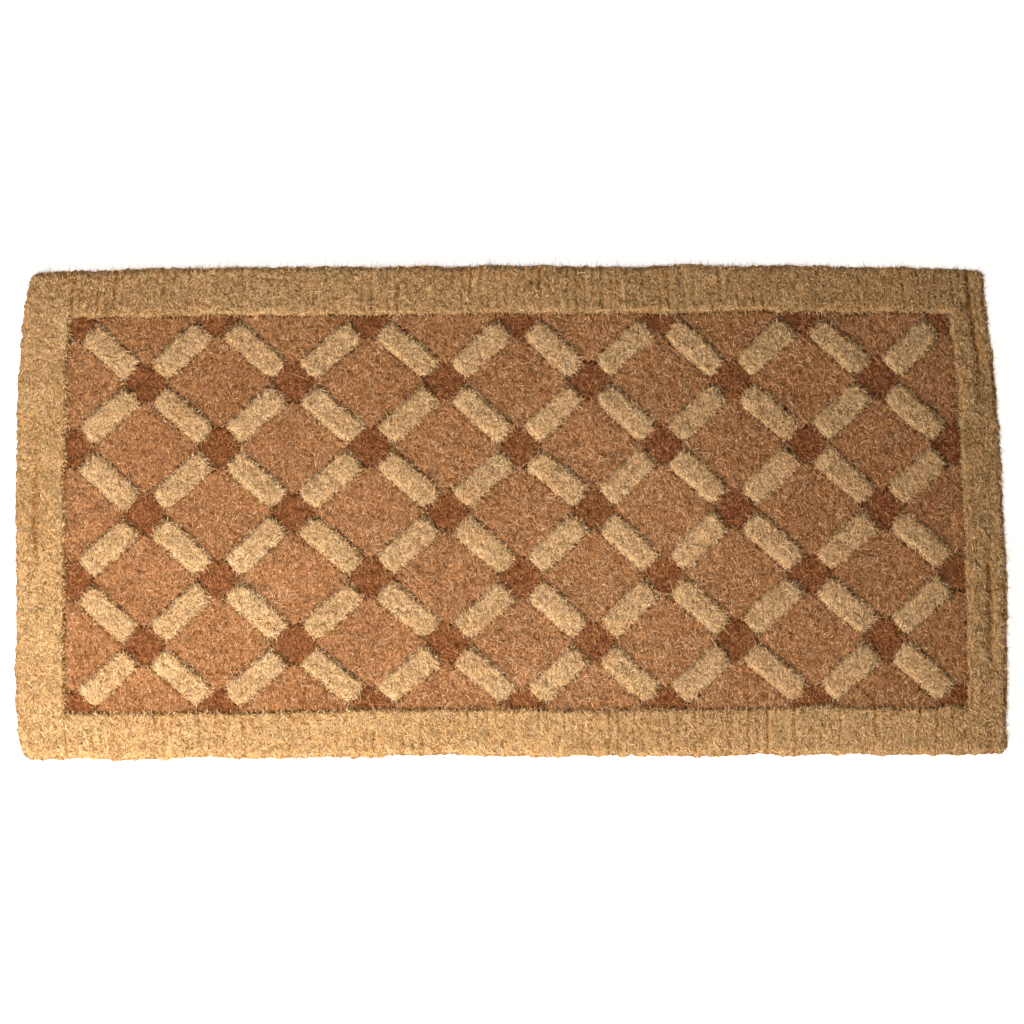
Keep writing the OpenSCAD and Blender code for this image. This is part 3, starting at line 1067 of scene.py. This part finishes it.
def make_base():
    yarn = yarn_material("coir_yarn_base", YARN, 0.6)
    warps = yarn_places(WARP_BOX[1].y, 1)
    ground = yarn_places(WEFT_BOX[1].x, 2)
    locking = yarn_places(LOCKING_BOX[1].x, 2)
    yarns("twisted_lower_warps", "lower_warp_chains", warps, WARP_BOX[1].x, 0, 5 * MM, True, yarn)
    yarns("twisted_upper_warps", "upper_warp_chains", warps, WARP_BOX[1].x, 2, 8 * MM, True, yarn)
    yarns("twisted_ground_weft", "ground_weft", ground, WEFT_BOX[1].y, 1, 5 * MM, False, yarn)
    yarns("twisted_locking_weft", "locking_weft", locking, LOCKING_BOX[1].y, 1, 5 * MM, False, yarn)
    for side in ("left", "right"):
        end_knots(f"warp_end_knots_{side}", warps, yarn)


def end_knots(node, warps, material):
    """A small overhand knot on the end of each pair of warps, each turned its own way."""
    low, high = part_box(node)
    radius = (high.x - low.x) / 2
    centre_x, centre_z = (low.x + high.x) / 2, (low.z + high.z) / 2
    t = np.arange(KNOT_RINGS) * 2 * np.pi / KNOT_RINGS
    loop_x = np.sin(t) + 2 * np.sin(2 * t)
    loop_y = np.cos(t) - 2 * np.cos(2 * t)
    loop = np.stack([loop_x, loop_y, -1.3 * np.sin(3 * t)], 1) / 3
    rng = seeded(9)
    thick = 0.36 * radius
    paths = []
    for y in warps:
        a, b, c = rng.uniform(0, 2 * np.pi, 3)
        turn = Matrix.Rotation(a, 3, "X") @ Matrix.Rotation(b, 3, "Y") @ Matrix.Rotation(c, 3, "Z")
        paths.append((radius - thick) * loop @ np.array(turn).T + (centre_x, y, centre_z))
    sections = plied(thick, thick, t * 0, 0, 2, KNOT_SIDES)
    piece = swept("knotted_" + node, moved(np.array(paths)), sections, material, (0.3, 0.9, 0.3), True)
    declare(piece, "base_yarn", node)


# ---- edging ----

PLAIT_LENGTH = 26 * MM
PLAIT_STRAND = 1.75 * MM
STRAND_SPREAD = 1.15
PLAIT_CORNER = 7 * MM
STITCH_PITCH = 2 * YARN_PITCH
STITCH_RINGS = 28
STITCH_SIDES = 6
# A loop is an ellipse at 1 and a sharp rectangle near 0
STITCH_ROUNDNESS = 0.25
# Half the twine's thickness: the twine is a thirteenth as thick as a stitch is high
STITCH_HALF_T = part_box("edge_stitches_front")[1].z / 26


def rounded_line(points, radius, spacing):
    """A plan line through points with its corners rounded off, as evenly spaced points."""
    points = [np.array(p, float) for p in points]
    line = [points[0]]
    for before, corner, after in zip(points, points[1:], points[2:]):
        a = corner + unit(before - corner) * radius
        b = corner + unit(after - corner) * radius
        line += [a * (1 - t) ** 2 + 2 * corner * t * (1 - t) + b * t * t for t in np.linspace(0, 1, 7)]
    line = np.array([*line, points[-1]])
    travel = np.concatenate([[0], np.cumsum(np.linalg.norm(np.diff(line, axis=0), axis=1))])
    even = np.linspace(0, travel[-1], int(travel[-1] / spacing))
    return np.stack([np.interp(even, travel, line[:, k]) for k in (0, 1)], 1), even


def plait(node, corners, material):
    """Three strands plaited on edge, so that the broad face looks outwards."""
    low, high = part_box(node)
    line, travel = rounded_line(corners, PLAIT_CORNER, 2.6 * MM)
    ahead = unit(np.gradient(line, axis=0))
    outward = np.stack([ahead[:, 1], -ahead[:, 0]], 1)
    half_z = (high.z - low.z) / 2
    half_w = (BRAID_OUT_X - BRAID_IN_X) / 2
    paths = []
    for k in range(3):
        phase = 2 * np.pi * (travel / PLAIT_LENGTH + k / 3)
        plan = line + outward * ((half_w - PLAIT_STRAND) * np.sin(2 * phase))[:, None]
        z = half_z + (half_z - STRAND_SPREAD * PLAIT_STRAND) * np.sin(phase)
        paths.append(np.concatenate([plan, z[:, None]], 1))
    sections = plied(PLAIT_STRAND * STRAND_SPREAD, PLAIT_STRAND, travel, 0.22)
    piece = swept("plaited_" + node, moved(np.array(paths)), sections, material, (0, 0, 1))
    declare(piece, "braid_yarn", node)


def stitches(node, material):
    """Loops of twine that hold the edging on, each pulled a little aslant."""
    low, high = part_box(node)
    along_x = node.endswith(("front", "back"))
    axis, across = (0, 1) if along_x else (1, 0)
    first = STITCH_PITCH / 4
    count = round((high[axis] - first) / STITCH_PITCH)
    places = first + STITCH_PITCH * np.arange(-count, count)
    rng = seeded(10)
    t = np.arange(STITCH_RINGS) * 2 * np.pi / STITCH_RINGS
    u = np.sign(np.cos(t)) * np.abs(np.cos(t)) ** STITCH_ROUNDNESS
    v = np.sign(np.sin(t)) * np.abs(np.sin(t)) ** STITCH_ROUNDNESS
    paths = np.empty((len(places), STITCH_RINGS, 3))
    centre = (low[across] + high[across]) / 2
    half = (high[across] - low[across]) / 2 - STITCH_HALF_T
    slant = rng.uniform(-1.5, 1.5, (len(places), 1)) * MM
    paths[..., across] = centre + half * u
    paths[..., axis] = places[:, None] + slant * u + 0.3 * MM * rng.normal(size=(len(places), 1))
    paths[..., 2] = (low.z + high.z) / 2 + ((high.z - low.z) / 2 - STITCH_HALF_T) * v
    first_side = (1, 0, 0) if along_x else (0, 1, 0)
    sections = plied(STITCH_HALF_T, STITCH_HALF_T, t * 0, 0, 2, STITCH_SIDES)
    piece = swept("sewn_" + node, moved(paths), sections, material, first_side, True)
    declare(piece, "sewing_twine", node)


def make_edging():
    braid = yarn_material("coir_yarn_braid", BRAID, -0.6)
    twine = yarn_material("sewing_twine", TWINE, 0.5)
    x = (BRAID_IN_X + BRAID_OUT_X) / 2
    y = (BRAID_IN_Y + BRAID_OUT_Y) / 2
    end = BRAID_IN_Y - 3 * MM
    plait("edge_braid_front", [(-x, -end), (-x, -y), (x, -y), (x, -end)], braid)
    plait("edge_braid_back", [(x, end), (x, y), (-x, y), (-x, end)], braid)
    plait("edge_braid_left", [(-x, end), (-x, -end)], braid)
    plait("edge_braid_right", [(x, -end), (x, end)], braid)
    for side in BORDER_SIDES:
        stitches("edge_stitches_" + side, twine)


# ---- camera, light and floor ----

CAMERA_DISTANCE = 3.0
CAMERA_ELEVATION = math.radians(83.6)
CAMERA_SIDE = math.radians(-3.45)
CAMERA_ROLL = math.radians(-0.84)
LENS = 85.4
AIM = Vector((-4 * MM, -1 * MM, 20 * MM))

# A near key light at the front left, which makes that corner the brightest
KEY_PLACE = (-0.82, -1.06, 1.2)
KEY_TARGET = (-0.15, -0.1, 0)
KEY_SIZE = 0.8
KEY_POWER = 76


def make_camera():
    camera = bpy.data.objects.new("camera", bpy.data.cameras.new("camera"))
    bpy.context.scene.collection.objects.link(camera)
    camera.data.lens = LENS
    camera.data.sensor_width = 36
    camera.data.clip_start = 0.01
    camera.data.clip_end = 100
    back = Vector((math.sin(CAMERA_SIDE), -math.cos(CAMERA_ELEVATION), 0))
    back.z = math.sqrt(1 - back.x ** 2 - back.y ** 2)
    right = Vector((0, 1, 0)).cross(back).normalized()
    up = back.cross(right)
    place = Matrix.Translation(AIM + back * CAMERA_DISTANCE)
    turn = Matrix((right, up, back)).transposed().to_4x4()
    camera.matrix_world = place @ turn @ Matrix.Rotation(CAMERA_ROLL, 4, "Z")
    bpy.context.scene.camera = camera


def area_light(name, place, target, size, power, colour):
    light = bpy.data.lights.new(name, "AREA")
    light.shape = "DISK"
    light.size = size
    light.energy = power
    light.color = colour
    lamp = bpy.data.objects.new(name, light)
    bpy.context.scene.collection.objects.link(lamp)
    lamp.location = place
    lamp.rotation_euler = (Vector(target) - Vector(place)).to_track_quat("-Z", "Y").to_euler()
    lamp.visible_camera = False


def make_studio():
    area_light("key", KEY_PLACE, KEY_TARGET, KEY_SIZE, KEY_POWER, (1.0, 0.97, 0.93))
    world = bpy.data.worlds.new("studio")
    world.use_nodes = True
    background = world.node_tree.nodes["Background"]
    background.inputs["Color"].default_value = (1.0, 0.93, 0.82, 1)
    background.inputs["Strength"].default_value = 0.05
    bpy.context.scene.world = world
    bpy.context.scene.view_settings.view_transform = "Standard"


FLOOR_FLAT = 9.0
FLOOR_SWEEP = 2.5
FLOOR_TOP = 3.5
FLOOR_SIDES = 64
# The floor lies this far under the mat, so that the two never share a plane
FLOOR_GAP = 0.4 * MM


def make_floor():
    """A round pale floor that sweeps up into a wall, so that no horizon shows."""
    n = Nodes("pale_floor")
    place = n.add("ShaderNodeTexCoord").outputs["Object"]
    pale = n.mix(n.noise(place, 3, 2), (0.84, 0.84, 0.84, 1), (0.87, 0.87, 0.87, 1))
    n.put(n.shader.inputs["Base Color"], pale)
    n.shader.inputs["Roughness"].default_value = 0.9
    n.shader.inputs["Emission Color"].default_value = (1, 1, 1, 1)
    n.shader.inputs["Emission Strength"].default_value = 0.88
    profile = [(0.0, 0.0), (FLOOR_FLAT, 0.0)]
    for a in np.linspace(0, math.pi / 2, 13)[1:]:
        profile.append((FLOOR_FLAT + FLOOR_SWEEP * math.sin(a), FLOOR_SWEEP * (1 - math.cos(a))))
    profile.append((FLOOR_FLAT + FLOOR_SWEEP, FLOOR_TOP))
    around = np.arange(FLOOR_SIDES)
    turns = around * 2 * math.pi / FLOOR_SIDES
    rings = [
        np.stack([r * np.cos(turns), r * np.sin(turns), 0 * turns + z - FLOOR_GAP], 1)
        for r, z in profile[1:]
    ]
    quads = []
    for k in range(len(rings) - 1):
        inner, outer = k * FLOOR_SIDES + around, (k + 1) * FLOOR_SIDES + around
        next_inner, next_outer = np.roll(inner, -1), np.roll(outer, -1)
        quads.append(np.stack([next_inner, inner, outer, next_outer], 1))
    faces = [np.concatenate(quads), around[None]]
    floor = mesh_object("floor", np.concatenate(rings), faces, [n.material])


make_camera()
make_studio()
make_floor()
make_base()
make_edging()
make_pile()
make_fibres()
